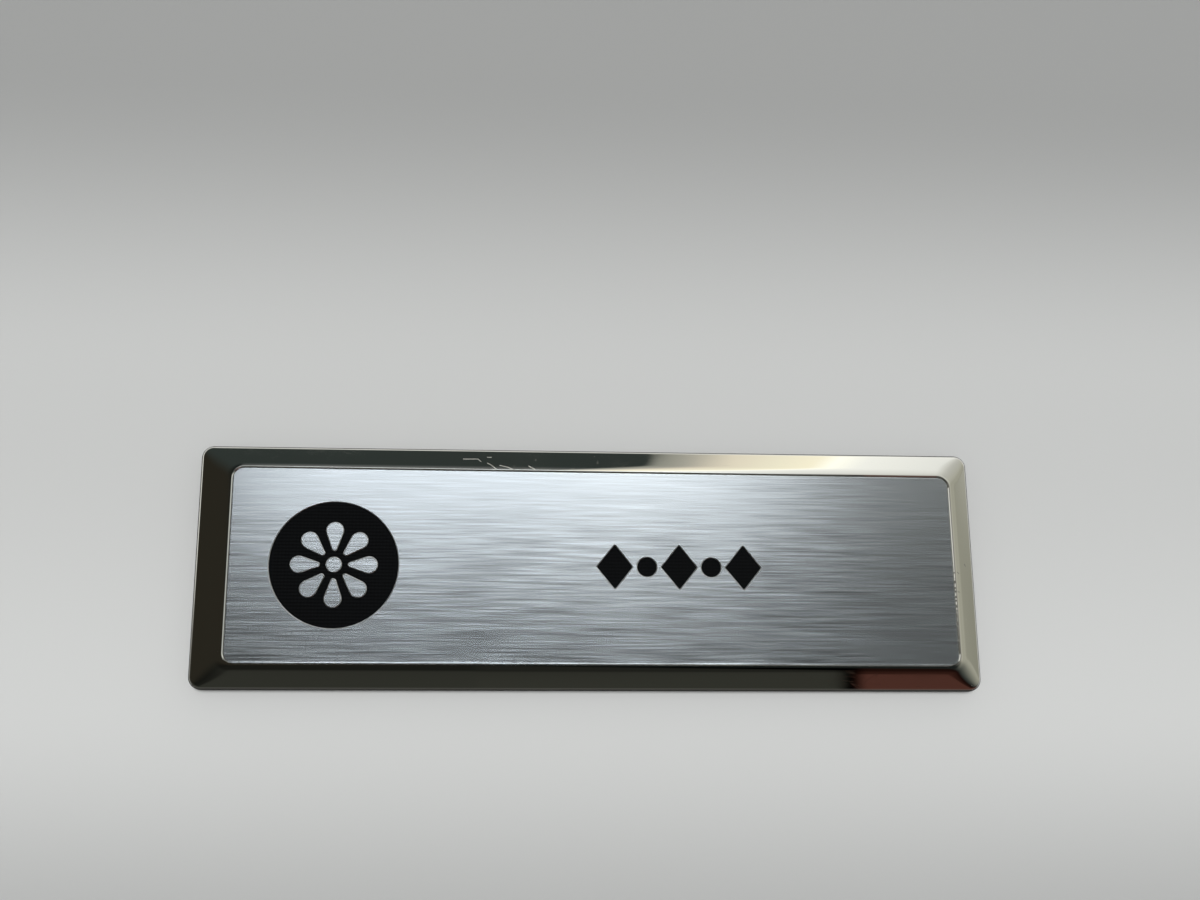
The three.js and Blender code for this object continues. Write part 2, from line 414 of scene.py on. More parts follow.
def narrowed_below(rings, wall, bottom):
    """The lip's inner chamfer is narrower along the bottom. Points beside the bottom edge keep only
    a share of their distance from the wall below them, and the sides keep all of it."""
    above = (wall[:, 1] - bottom) / NARROWED_REACH
    share = BOTTOM_LIP_SHARE + (1 - BOTTOM_LIP_SHARE) * np.clip(above, 0, 1) ** 2
    narrowed = rings.copy()
    narrowed[..., :2] = wall[:, :2] + share[:, None] * (rings[..., :2] - wall[:, :2])
    return narrowed


def worn_lip(rings):
    """The lip's rings with hand-polished unevenness: heights and insets move by a smooth wobble
    of some micrometres along the badge, and short nicks lie on the right side, where it is worn.
    The first and the last ring stay where they are."""
    share = np.linspace(0, 1, len(rings))[:, None]
    weight = np.sin(math.pi * share)
    x, y = rings[..., 0], rings[..., 1]
    uneven = wobble(x + 2.3 * y, [5.3 * MM, 2.1 * MM, 0.9 * MM], LIP_UNEVENNESS)
    nick_centre, nick_reach = -2.0 * MM, 1.6 * MM
    on_right = x > 30 * MM
    worn = np.exp(-(((y - nick_centre) / nick_reach) ** 2)) * on_right
    nicks = worn * wobble(y, [0.83 * MM, 0.47 * MM, 0.31 * MM], NICK_DEPTH)
    moved = rings.copy()
    moved[..., 2] -= np.abs(weight * (uneven + nicks))
    moved[..., 0] += weight * nicks
    return moved


def raster_jagged(points):
    """The engraver's raster leaves small steps: each point moves sideways by a triangle wave of
    its height on the face, with the raster's pitch."""
    phase = points[..., 1] / RASTER_PITCH
    moved = points.copy()
    moved[..., 0] += RASTER_JAG * (2 * np.abs(2 * (phase - np.floor(phase + 0.5))) - 1)
    return moved


def cut_rings(outline, side):
    """The engraved edge round an outline, from the plate's face down to the pocket's floor: a flat
    strip, a rounded edge and the upright wall. side is 1 where the metal lies outside."""
    turn = np.linspace(0, QUARTER_TURN, EDGE_STEPS + 1)
    grows = [CUT_EDGE + FLAT_STRIP, *(CUT_EDGE * (1 - np.sin(turn))), 0]
    drops = [0, *(CUT_EDGE * (1 - np.cos(turn))), ENGRAVED_DEPTH]
    return [
        raised(raster_jagged(outline_points(outline, side * grow)), PLATE_FACE - drop)
        for grow, drop in zip(grows, drops)
    ]


def tapered(points, taper):
    """The top edge is a hair out of square: points near it move down by up to the taper towards the
    right, by taper * share along * share up."""
    low, high = PLATE_LOW[:2], PLATE_HIGH[:2]
    along, up = ((points[:, :2] - low) / (high - low)).T
    moved = points.copy()
    moved[:, 1] -= taper * np.clip(along, 0, 1) * np.clip(2 * up - 1, 0, 1)
    return moved


def turned_up(rings, bottom):
    """The plate's bottom edge is turned up by a hair: points beside it rise by height * (1 - d /
    width) squared, with d their distance from the edge's own round."""
    rings = np.array(rings)
    distance = np.clip(rings[..., 1] - bottom - PLATE_EDGE_RADIUS, 0, TURNED_UP_WIDTH)
    rings[..., 2] += TURNED_UP_HEIGHT * (1 - distance / TURNED_UP_WIDTH) ** 2
    return list(rings)


def rosette():
    """The outlines of the bright figure: a boss and its petals."""
    directions = QUARTER_TURN + np.arange(PETAL_COUNT) * 2 * math.pi / PETAL_COUNT
    boss = disc(EMBLEM_CENTRE, BOSS_RADIUS, BOSS_STEPS)
    return [boss, *(petal(direction) for direction in directions)]


def face_plate(brushed, cut):
    """The brushed plate: a face with a rounded edge, pockets with rounded cut edges and floors,
    and the rosette's parts standing in the emblem's pocket."""
    surface = Surface()
    opening_low, opening_high = opening_corners()
    low = opening_low + np.array([SEEN_GAP_LEFT, SEEN_GAP_BOTTOM])
    high = opening_high - np.array([SEEN_GAP_RIGHT, SEEN_GAP_TOP])
    outline = rounded_box(low, high, OPENING_CORNER_RADIUS - PLATE_CLEARANCE)

    def ring(grow, height):
        return tapered(side_ring(outline, grow, height), PLATE_TOP_TAPER)

    sides = []
    for inset, rise in zip(*edge_arc(PLATE_EDGE_RADIUS, 0, QUARTER_TURN)):
        sides.append(ring(-inset, PLATE_FACE - PLATE_EDGE_RADIUS + rise))
    for share in np.linspace(0, 1, TURNED_UP_STEPS + 1)[1:]:
        sides.append(ring(-PLATE_EDGE_RADIUS - share * TURNED_UP_WIDTH, PLATE_FACE))
    sides = turned_up(sides, low[1])
    back = ring(0, PLATE_LOW[2])
    strip = ring(-PLATE_EDGE_RADIUS - TURNED_UP_WIDTH - FLAT_STRIP, PLATE_FACE)
    surface.flat(back, facing_up=False)
    surface.strip([back, *sides, strip])
    pockets = [cut_rings(mark_outline(node), 1) for node in MARK_NODES]
    emblem = cut_rings(disc(EMBLEM_CENTRE, EMBLEM_RADIUS, EMBLEM_STEPS), 1)
    parts = [cut_rings(part, -1) for part in rosette()]
    surface.flat_with_holes(strip, [rings[0] for rings in (emblem, *pockets)])
    for rings in (emblem, *pockets):
        surface.strip(rings, finish=1)
    for rings in pockets:
        surface.flat(rings[-1], finish=1)
    for rings in parts:
        surface.strip(rings[::-1], finish=1)
        surface.flat(rings[0])
    surface.flat_with_holes(emblem[-1], [rings[-1] for rings in parts], finish=1)
    piece = surface.piece("brushed_plate", [brushed, cut])
    return place(piece, "brushed_steel", "face_plate")


def enamel_rings(outline, side):
    """The enamel's edge round an outline, from its back up to its face, with a rounded edge. side
    is -1 where the enamel lies inside the outline and 1 round a hole in it."""
    turn = np.linspace(0, QUARTER_TURN, EDGE_STEPS + 1)
    thickness = ENAMEL_FACE - POCKET_FLOOR
    insets = [0, *(ENAMEL_EDGE * (1 - np.cos(turn))), ENAMEL_EDGE + FLAT_STRIP]
    rises = [ENAMEL_SEAT_GAP, *(thickness - ENAMEL_EDGE * (1 - np.sin(turn))), thickness]
    return [
        raised(
            raster_jagged(outline_points(outline, side * (ENAMEL_SEAT_GAP + inset))),
            POCKET_FLOOR + rise,
        )
        for inset, rise in zip(insets, rises)
    ]


def emblem_enamel(material):
    """The black ground of the emblem, with a rounded edge outside and round each opening."""
    surface = Surface()
    edge = enamel_rings(disc(EMBLEM_CENTRE, EMBLEM_RADIUS, EMBLEM_STEPS), -1)
    holes = [enamel_rings(part, 1) for part in rosette()]
    surface.strip(edge)
    for rings in holes:
        surface.strip(rings, outward=False)
    surface.flat_with_holes(edge[-1], [rings[-1] for rings in holes])
    under = Surface()
    under.flat_with_holes(edge[0], [rings[0] for rings in holes])
    surface.faces.extend([(np.array(f) + surface.count)[::-1].tolist() for f in under.faces])
    surface.finishes.extend(under.finishes)
    surface.add_points(np.concatenate(under.points))
    piece = surface.piece("black_emblem", [material])
    return place(piece, "black_enamel", "emblem_enamel")


def name_mark(node, material):
    """One black mark, with a rounded edge."""
    surface = Surface()
    edge = enamel_rings(mark_outline(node), -1)
    surface.flat(edge[0], facing_up=False)
    surface.strip(edge)
    surface.flat(edge[-1])
    return place(surface.piece(f"black_{node}", [material]), "black_enamel", node)


def fastening_bar(material):
    """The plain bar of the back: a rounded box whose upper and lower edges are quarter rounds."""
    surface = Surface()
    outline = rounded_box(BAR_LOW, BAR_HIGH, BAR_CORNER_RADIUS)
    insets, rises = edge_arc(BAR_EDGE_RADIUS, 0, QUARTER_TURN)
    low_arc = BAR_LOW[2] + BAR_EDGE_RADIUS
    high_arc = BAR_HIGH[2] - BAR_EDGE_RADIUS
    grows = np.concatenate([-insets[::-1], -insets])
    heights = np.concatenate([low_arc - rises[::-1], high_arc + rises])
    rings = [raised(outline_points(outline, g), h) for g, h in zip(grows, heights)]
    flat_grow = -BAR_EDGE_RADIUS - FLAT_STRIP
    under = raised(outline_points(outline, flat_grow), BAR_LOW[2])
    over = raised(outline_points(outline, flat_grow), BAR_HIGH[2])
    surface.flat(under, facing_up=False)
    surface.strip([under, *rings, over])
    surface.flat(over)
    return place(surface.piece("plated_bar", [material]), "plated_steel", "fastening_bar")


# Materials

def new_group(name, inputs, outputs):
    """An empty node group with named inputs, as (name, kind, value), and outputs."""
    group = bpy.data.node_groups.new(name, "ShaderNodeTree")
    for label, kind, value in inputs:
        socket = group.interface.new_socket(label, in_out="INPUT", socket_type=kind)
        if value is not None:
            socket.default_value = value
    for label, kind in outputs:
        group.interface.new_socket(label, in_out="OUTPUT", socket_type=kind)
    return group, group.nodes.new("NodeGroupInput"), group.nodes.new("NodeGroupOutput")


def put(tree, kind, settings=None, **values):
    """A node with its settings and the values or links of its sockets, by name or number."""
    node = tree.nodes.new(kind)
    for key, value in (settings or {}).items():
        setattr(node, key, value)
    for key, value in values.items():
        key = key.replace("_", " ") if key.replace("_", " ") in node.inputs else key
        socket = node.inputs[int(key[1:])] if key[0] == "i" and key[1:].isdigit() else node.inputs[key]
        if isinstance(value, bpy.types.NodeSocket):
            tree.links.new(value, socket)
        else:
            socket.default_value = value
    return node


def maths(tree, operation, a, b=None, c=None, clamp=False):
    """One step of arithmetic on numbers or sockets."""
    values = {f"i{k}": v for k, v in enumerate((a, b, c)) if v is not None}
    node = put(tree, "ShaderNodeMath", {"operation": operation, "use_clamp": clamp}, **values)
    return node.outputs[0]


def axes(tree, vector):
    """The X, Y and Z of a vector."""
    return put(tree, "ShaderNodeSeparateXYZ", Vector=vector).outputs


def ramp(tree, value, low, high, to_low=0.0, to_high=1.0):
    """A smooth step of a value from low to high."""
    node = put(
        tree, "ShaderNodeMapRange", {"interpolation_type": "SMOOTHSTEP"},
        Value=value, From_Min=low, From_Max=high, To_Min=to_low, To_Max=to_high,
    )
    return node.outputs[0]


def stretched_noise(tree, vector, scale, detail=2.0, roughness=0.5):
    """Noise with its own scale along each axis, in waves per metre."""
    mapping = put(tree, "ShaderNodeMapping", {"vector_type": "POINT"}, Vector=vector, Scale=scale)
    noise = put(
        tree, "ShaderNodeTexNoise", {"noise_dimensions": "3D"},
        Vector=mapping.outputs[0], Scale=1.0, Detail=detail, Roughness=roughness,
    )
    return noise.outputs["Fac"]


def scratch_group():
    """Fine long scratches: thin lines where stretched noise passes its middle value, broken into
    lengths by a second noise. Length and Spacing are in waves per metre."""
    group, given, result = new_group(
        "fine_scratches",
        [
            ("Vector", "NodeSocketVector", None),
            ("Turn", "NodeSocketFloat", 0.0),
            ("Length", "NodeSocketFloat", 60.0),
            ("Spacing", "NodeSocketFloat", 900.0),
            ("Thinness", "NodeSocketFloat", 0.03),
        ],
        [("Mask", "NodeSocketFloat")],
    )
    turned = put(
        group, "ShaderNodeVectorRotate", {"rotation_type": "Z_AXIS"},
        Vector=given.outputs["Vector"], Angle=given.outputs["Turn"],
    )
    scale = put(
        group, "ShaderNodeCombineXYZ",
        X=given.outputs["Length"], Y=given.outputs["Spacing"], Z=given.outputs["Length"],
    )
    stretched = put(
        group, "ShaderNodeVectorMath", {"operation": "MULTIPLY"},
        i0=turned.outputs[0], i1=scale.outputs[0],
    )
    lines = put(group, "ShaderNodeTexNoise", Vector=stretched.outputs[0], Scale=1.0, Detail=1.0)
    distance = maths(group, "ABSOLUTE", maths(group, "SUBTRACT", lines.outputs["Fac"], 0.5))
    near = maths(group, "DIVIDE", distance, given.outputs["Thinness"])
    line = ramp(group, near, 0.0, 1.0, 1.0, 0.0)
    breaks = put(group, "ShaderNodeTexNoise", Vector=turned.outputs[0], Scale=420.0, Detail=2.0)
    kept = ramp(group, breaks.outputs["Fac"], 0.52, 0.66)
    group.links.new(maths(group, "MULTIPLY", line, kept), result.inputs["Mask"])
    return group


def hairline_group():
    """Straight hairlines along X. Y is cut into rows of one pitch, and each row reads smooth noise
    along X at a place of its own, so no two rows have their lighter lengths side by side."""
    group, given, result = new_group(
        "hairlines",
        [
            ("Vector", "NodeSocketVector", None),
            ("Pitch", "NodeSocketFloat", 0.0001),
            ("Reach", "NodeSocketFloat", 0.006),
        ],
        [("Line", "NodeSocketFloat")],
    )
    parts = axes(group, given.outputs["Vector"])
    row = maths(group, "FLOOR", maths(group, "DIVIDE", parts["Y"], given.outputs["Pitch"]))
    own = put(group, "ShaderNodeTexWhiteNoise", {"noise_dimensions": "1D"}, W=row).outputs["Value"]
    along = maths(group, "DIVIDE", parts["X"], given.outputs["Reach"])
    where = put(
        group, "ShaderNodeCombineXYZ",
        X=maths(group, "MULTIPLY_ADD", own, 61.0, along), Y=maths(group, "MULTIPLY", own, 97.0),
    )
    noise = put(
        group, "ShaderNodeTexNoise", {"noise_dimensions": "2D"},
        Vector=where.outputs[0], Scale=1.0, Detail=1.0, Roughness=0.35,
    )
    group.links.new(noise.outputs["Fac"], result.inputs["Line"])
    return group


def brushing_group(hairlines):
    """The brushed grain as a tone: straight hairlines along X in three sizes."""
    group, given, result = new_group(
        "brushed_grain", [("Vector", "NodeSocketVector", None)], [("Tone", "NodeSocketFloat")]
    )
    vector = given.outputs["Vector"]
    sizes = [(0.075 * MM, 6 * MM, 1.2), (0.145 * MM, 7 * MM, 0.75), (0.37 * MM, 8 * MM, 0.3)]
    tone = None
    for pitch, reach, weight in sizes:
        line = use_group(group, hairlines, Vector=vector, Pitch=pitch, Reach=reach)["Line"]
        centred = maths(group, "SUBTRACT", line, 0.5)
        tone = maths(group, "MULTIPLY_ADD", centred, weight, 0.0 if tone is None else tone)
    group.links.new(tone, result.inputs["Tone"])
    return group


def haze_group():
    """Faint smears and specks of handling: slow noise and scattered small dots."""
    group, given, result = new_group(
        "handling_haze",
        [("Vector", "NodeSocketVector", None)],
        [("Haze", "NodeSocketFloat"), ("Specks", "NodeSocketFloat")],
    )
    vector = given.outputs["Vector"]
    slow = stretched_noise(group, vector, (160, 260, 160), 4.0, 0.6)
    cells = put(
        group, "ShaderNodeTexVoronoi", {"feature": "F1"}, Vector=vector, Scale=1300.0, Randomness=1.0
    )
    dots = ramp(group, cells.outputs["Distance"], 0.06, 0.12, 1.0, 0.0)
    chosen = ramp(group, stretched_noise(group, vector, (900, 900, 900), 0.0), 0.6, 0.66)
    group.links.new(ramp(group, slow, 0.35, 0.7), result.inputs["Haze"])
    group.links.new(maths(group, "MULTIPLY", dots, chosen), result.inputs["Specks"])
    return group


# Marks on the top and right bevels, as points on the face in millimetres, joined in order
MARKED_SCRATCHES = [
    [(-12.6, 10.71), (-11.15, 10.74), (-10.87, 10.46)],
    [(-10.23, 10.29), (-9.84, 10.07), (-9.4, 9.68)],
    [(-9.01, 10.05), (-8.22, 9.87), (-7.63, 9.59)],
    [(-10.24, 10.95), (-9.85, 10.95)],
    [(-6.16, 10.01), (-5.57, 9.68)],
    [(36.15, -0.3), (36.3, -0.42)],
    [(37.0, 0.6), (37.08, 0.4)],
    [(36.05, -2.2), (36.22, -2.3)],
]
SCRATCH_HALF_WIDTH = 0.035 * MM


def marked_scratch_group():
    """Scratches at their own places. The distance to a line from A to B is the length of P - A - t
    (B - A), with t the share of B - A nearest to P, and each line fades out beyond a half width."""
    group, given, result = new_group(
        "marked_scratches",
        [("Vector", "NodeSocketVector", None)],
        [("Mask", "NodeSocketFloat")],
    )
    flat = put(
        group, "ShaderNodeVectorMath", {"operation": "MULTIPLY"},
        i0=given.outputs["Vector"], i1=(1, 1, 0),
    ).outputs[0]
    total = None
    for path in MARKED_SCRATCHES:
        for start, end in zip(path, path[1:]):
            a = Vector((*start, 0)) * MM
            along = Vector((*end, 0)) * MM - a
            from_a = put(
                group, "ShaderNodeVectorMath", {"operation": "SUBTRACT"}, i0=flat, i1=a
            ).outputs[0]
            dot = put(
                group, "ShaderNodeVectorMath", {"operation": "DOT_PRODUCT"},
                i0=from_a, i1=along / along.length_squared,
            ).outputs["Value"]
            share = maths(group, "ADD", dot, 0.0, clamp=True)
            nearest = put(
                group, "ShaderNodeVectorMath", {"operation": "SCALE"}, i0=along, Scale=share
            ).outputs[0]
            distance = put(
                group, "ShaderNodeVectorMath", {"operation": "DISTANCE"}, i0=from_a, i1=nearest
            ).outputs["Value"]
            line = ramp(group, distance, 0.2 * SCRATCH_HALF_WIDTH, SCRATCH_HALF_WIDTH, 1.0, 0.0)
            total = line if total is None else maths(group, "MAXIMUM", total, line)
    group.links.new(total, result.inputs["Mask"])
    return group


def new_material(name, colour, metallic, roughness, **constants):
    """A material with a Principled shader, object coordinates and plain values."""
    material = bpy.data.materials.new(name)
    material.use_nodes = True
    tree = material.node_tree
    shader = tree.nodes["Principled BSDF"]
    shader.inputs["Base Color"].default_value = (*colour, 1)
    shader.inputs["Metallic"].default_value = metallic
    shader.inputs["Roughness"].default_value = roughness
    for key, value in constants.items():
        shader.inputs[key.replace("_", " ")].default_value = value
    coordinates = tree.nodes.new("ShaderNodeTexCoord").outputs["Object"]
    return material, tree, shader, coordinates


def use_group(tree, group, **values):
    """A placed node group."""
    return put(tree, "ShaderNodeGroup", {"node_tree": group}, **values).outputs


def tinted(tree, share, low, high):
    """A colour between two, by a share."""
    node = put(tree, "ShaderNodeMix", {"data_type": "RGBA"}, i0=share)
    node.inputs[6].default_value = (*low, 1)
    node.inputs[7].default_value = (*high, 1)
    return node.outputs[2]


def bump(tree, height, distance, strength=1.0, normal=None):
    """A bump from a height in shares of a distance."""
    node = put(tree, "ShaderNodeBump", Height=height, Distance=distance, Strength=strength)
    if normal is not None:
        tree.links.new(normal, node.inputs["Normal"])
    return node.outputs[0]


def crossed_scratches(tree, scratches, vector, turns, thinness):
    """Fine scratches laid over one another in several directions, as (turn, length, spacing)."""
    total = None
    for turn, length, spacing in turns:
        mask = use_group(
            tree, scratches,
            Vector=vector, Turn=turn, Length=length, Spacing=spacing, Thinness=thinness,
        )["Mask"]
        total = mask if total is None else maths(tree, "MAXIMUM", total, mask)
    return total


def polished_steel(scratches, haze, marked):
    """Mirror-polished steel: fine scratches in three directions, a faint haze, a soft waviness and
    the few marks that show: a painted glint along the top and painted shade in pits at the right."""
    plain = (0.6, 0.59, 0.56)
    material, tree, shader, vector = new_material("polished_steel", plain, 1.0, 0.07)
    smears = use_group(tree, haze, Vector=vector)
    turns = [(0.05, 40.0, 1500.0), (0.4, 60.0, 1100.0), (-0.7, 90.0, 800.0)]
    fine = crossed_scratches(tree, scratches, vector, turns, 0.02)
    deep = use_group(tree, marked, Vector=vector)["Mask"]
    rough = 0.02
    for mask, weight in [(smears["Haze"], 0.05), (fine, 0.05), (smears["Specks"], 0.2), (deep, 0.5)]:
        rough = maths(tree, "MULTIPLY_ADD", mask, weight, rough)
    tree.links.new(rough, shader.inputs["Roughness"])
    # The marks' colour is painted light and shade: near white on the top bevel as a glint, near black
    # at the right as shade in pits.
    at_side = ramp(tree, axes(tree, vector)["X"], 30 * MM, 33 * MM)
    painted_glint_and_pit_shade = tinted(tree, at_side, (0.95, 0.93, 0.88), (0.1, 0.1, 0.09))
    tone = put(tree, "ShaderNodeMix", {"data_type": "RGBA"}, i0=deep, i6=(*plain, 1), i7=painted_glint_and_pit_shade)
    tree.links.new(tone.outputs[2], shader.inputs["Base Color"])
    wave = stretched_noise(tree, vector, (120, 180, 120), 1.0)
    normal = bump(tree, wave, 0.001 * MM)
    grooves = maths(tree, "MULTIPLY_ADD", fine, -0.03, maths(tree, "MULTIPLY", deep, -3.0))
    normal = bump(tree, grooves, 0.004 * MM, 1.0, normal)
    tree.links.new(normal, shader.inputs["Normal"])
    return material


def brushed_steel(grain):
    """Steel brushed along X: the highlight spreads across the grain, and hairlines of three sizes
    vary its tone. The grain is worn smoother towards the top left and at the right end."""
    material, tree, shader, vector = new_material(
        "brushed_steel", (0.6, 0.62, 0.64), 1.0, 0.197, Anisotropic=0.6
    )
    tangent = put(tree, "ShaderNodeTangent", {"direction_type": "UV_MAP", "uv_map": "brushing"})
    tree.links.new(tangent.outputs[0], shader.inputs["Tangent"])
    parts = axes(tree, vector)
    at_top = ramp(tree, parts["Y"], -1 * MM, 8.5 * MM, 0.0, 0.8)
    at_left = ramp(tree, parts["X"], 10 * MM, 26 * MM, 1.0, 0.45)
    at_right = ramp(tree, parts["X"], 22 * MM, 31 * MM, 1.0, 0.45)
    kept = maths(tree, "SUBTRACT", 1.0, maths(tree, "MULTIPLY", at_top, at_left))
    strength = maths(tree, "MULTIPLY", kept, at_right)
    lines = use_group(tree, grain, Vector=vector)["Tone"]
    share = maths(tree, "MULTIPLY_ADD", lines, strength, 0.5)
    tree.links.new(
        tinted(tree, share, (0.3, 0.31, 0.32), (0.92, 0.96, 1.0)), shader.inputs["Base Color"]
    )
    return material


def dull_steel_painted_dark(haze):
    """The frame's side and back as they came from the press, dull, with their colour and edge
    reflection darkened nearly to black as painted shade.
    """
    # Painted shade: near-black colour and specular tint keep the side dark although the pale floor
    # lies beside it.
    material, tree, shader, vector = new_material(
        "dull_steel_painted_dark", (0.12, 0.117, 0.11), 1.0, 0.4, Specular_Tint=(0.12, 0.12, 0.12, 1)
    )
    smears = use_group(tree, haze, Vector=vector)
    rough = maths(tree, "MULTIPLY_ADD", smears["Haze"], 0.12, 0.34)
    tree.links.new(rough, shader.inputs["Roughness"])
    grain = stretched_noise(tree, vector, (3000, 3000, 3000), 2.0)
    tree.links.new(bump(tree, grain, 0.003 * MM), shader.inputs["Normal"])
    return material


def cut_steel():
    """The engraver's cut: bright, rough metal."""
    material, tree, shader, vector = new_material("cut_steel", (0.6, 0.61, 0.62), 1.0, 0.38)
    grain = stretched_noise(tree, vector, (9000, 9000, 3000), 2.0)
    tree.links.new(bump(tree, grain, 0.006 * MM), shader.inputs["Normal"])
    return material


def black_enamel(haze):
    """Matt black filling with the engraver's raster as fine lines along it and fainter ones
    across it, and a little dust."""
    material, tree, shader, vector = new_material(
        "black_enamel", (0.0035, 0.004, 0.0045), 0.0, 0.6, Specular_IOR_Level=0.08
    )
    parts = axes(tree, vector)
    waves = 2 * math.pi / RASTER_PITCH
    rows = maths(tree, "SINE", maths(tree, "MULTIPLY", parts["Y"], waves))
    columns = maths(tree, "SINE", maths(tree, "MULTIPLY", parts["X"], waves))
    raster = maths(tree, "MULTIPLY_ADD", columns, 0.35, rows)
    grain = stretched_noise(tree, vector, (6000, 9000, 6000), 2.0)
    height = maths(tree, "MULTIPLY_ADD", grain, 1.2, raster)
    tree.links.new(bump(tree, height, 0.006 * MM), shader.inputs["Normal"])
    dust = use_group(tree, haze, Vector=vector)["Specks"]
    lift = ramp(tree, maths(tree, "MULTIPLY_ADD", dust, 2.0, raster), -1.2, 2.4)
    tree.links.new(
        tinted(tree, lift, (0.002, 0.0022, 0.0026), (0.008, 0.009, 0.01)),
        shader.inputs["Base Color"],
    )
    return material


def plated_steel(scratches, haze):
    """Dull nickel plate, tumbled, with short scratches all ways."""
    material, tree, shader, vector = new_material("plated_steel", (0.52, 0.51, 0.48), 1.0, 0.3)
    smears = use_group(tree, haze, Vector=vector)
    turns = [(turn, 150.0, 900.0) for turn in (0.3, 1.1, 2.2)]
    fine = crossed_scratches(tree, scratches, vector, turns, 0.03)
    rough = maths(tree, "MULTIPLY_ADD", smears["Haze"], 0.12, 0.24)
    rough = maths(tree, "MULTIPLY_ADD", fine, 0.15, rough)
    tree.links.new(rough, shader.inputs["Roughness"])
    height = maths(tree, "MULTIPLY_ADD", fine, -1.0, smears["Haze"])
    tree.links.new(bump(tree, height, 0.004 * MM), shader.inputs["Normal"])
    return material


def floor_paper():
    """Pale matt paper with a barely visible grain. Its colour is painted darker behind the badge and
    a little in front of it, as painted shade where the light falls off."""
    material, tree, shader, vector = new_material(
        "pale_paper", (0.8, 0.81, 0.79), 0.0, 0.9, Specular_IOR_Level=0.1
    )
    # Painted shade: the paper's colour falls off behind the badge and a little in front of it.
    away = axes(tree, vector)["Y"]
    painted_shade_behind = ramp(tree, away, 20 * MM, 54 * MM, 1.0, 0.62)
    middle = ramp(tree, away, -14 * MM, 14 * MM, 1.0, 0.9)
    painted_shade_in_front = ramp(tree, away, -38 * MM, -13 * MM, 0.68, 1.0)
    tone = maths(tree, "MULTIPLY", maths(tree, "MULTIPLY", painted_shade_behind, middle), painted_shade_in_front)
    tree.links.new(tinted(tree, tone, (0, 0, 0), (0.86, 0.868, 0.86)), shader.inputs["Base Color"])
    grain = stretched_noise(tree, vector, (900, 900, 900), 3.0)
    tree.links.new(bump(tree, grain, 0.01 * MM), shader.inputs["Normal"])
    return material


# Camera, floor and light

CAMERA_PLACE = Vector((-11.02, -30.53, 151.27)) * MM
CAMERA_RIGHT = Vector((0.99696, -0.00757, 0.07754))
CAMERA_UP = Vector((-0.01389, 0.96208, 0.27241))
CAMERA_FOCUS = 1565.6
PHOTO_WIDTH = 1200
SENSOR = 36


def make_camera():
    """The camera at the photograph's place and angle, turned as it was."""
    data = bpy.data.cameras.new("camera")
    data.sensor_width = SENSOR
    data.lens = CAMERA_FOCUS * SENSOR / PHOTO_WIDTH
    data.clip_start = 5 * MM
    data.clip_end = 20
    camera = bpy.data.objects.new("camera", data)
    right = CAMERA_RIGHT.normalized()
    back = right.cross(CAMERA_UP).normalized()
    up = back.cross(right)
    turn = Matrix((right, up, back)).transposed().to_4x4()
    camera.matrix_world = Matrix.Translation(CAMERA_PLACE) @ turn
    bpy.context.scene.collection.objects.link(camera)
    bpy.context.scene.camera = camera


def make_floor():
    """A wide pale floor."""
    reach = 3.0
    mesh = bpy.data.meshes.new("floor")
    corners = [(-reach, -reach, 0), (reach, -reach, 0), (reach, reach, 0), (-reach, reach, 0)]
    mesh.from_pydata(corners, [], [(0, 1, 2, 3)])
    mesh.materials.append(floor_paper())
    floor = bpy.data.objects.new("floor", mesh)
    bpy.context.scene.collection.objects.link(floor)


def window(tree, angle, low, high, soft_low, soft_high):
    """1 between two angles and 0 outside them, with a soft edge at each, in degrees."""
    rising = ramp(tree, angle, low - soft_low, low + soft_low)
    falling = ramp(tree, angle, high - soft_high, high + soft_high, 1.0, 0.0)
    return maths(tree, "MULTIPLY", rising, falling)


# Colours of the wall at the top right by their bearings, as shares of its brightest one
WALL_PEAK = 1.72
WALL_TONES = [
    (7.3, (0.0, 0.0, 0.0)),
    (7.9, (0.23, 0.23, 0.2)),
    (9.1, (0.32, 0.31, 0.27)),
    (10.8, (0.66, 0.6, 0.49)),
    (12.9, (0.77, 0.73, 0.58)),
    (14.6, (0.87, 0.82, 0.64)),
    (15.4, (1.0, 1.0, 0.9)),
    (16.7, (0.81, 0.82, 0.79)),
    (19.8, (0.71, 0.72, 0.7)),
    (36.0, (0.5, 0.5, 0.47)),
    (62.0, (0.0, 0.0, 0.0)),
]


def toned(tree, value, tones):
    """A colour read from a row of (value, colour) pairs, evenly blended between each two."""
    first, last = tones[0][0], tones[-1][0]
    share = put(tree, "ShaderNodeMapRange", Value=value, From_Min=first, From_Max=last)
    node = put(tree, "ShaderNodeValToRGB", Fac=share.outputs[0])
    elements = node.color_ramp.elements
    while len(elements) < len(tones):
        elements.new(0.5)
    for element, (at, colour) in zip(elements, tones):
        element.position = (at - first) / (last - first)
        element.color = (*colour, 1)
    return node.outputs[0]


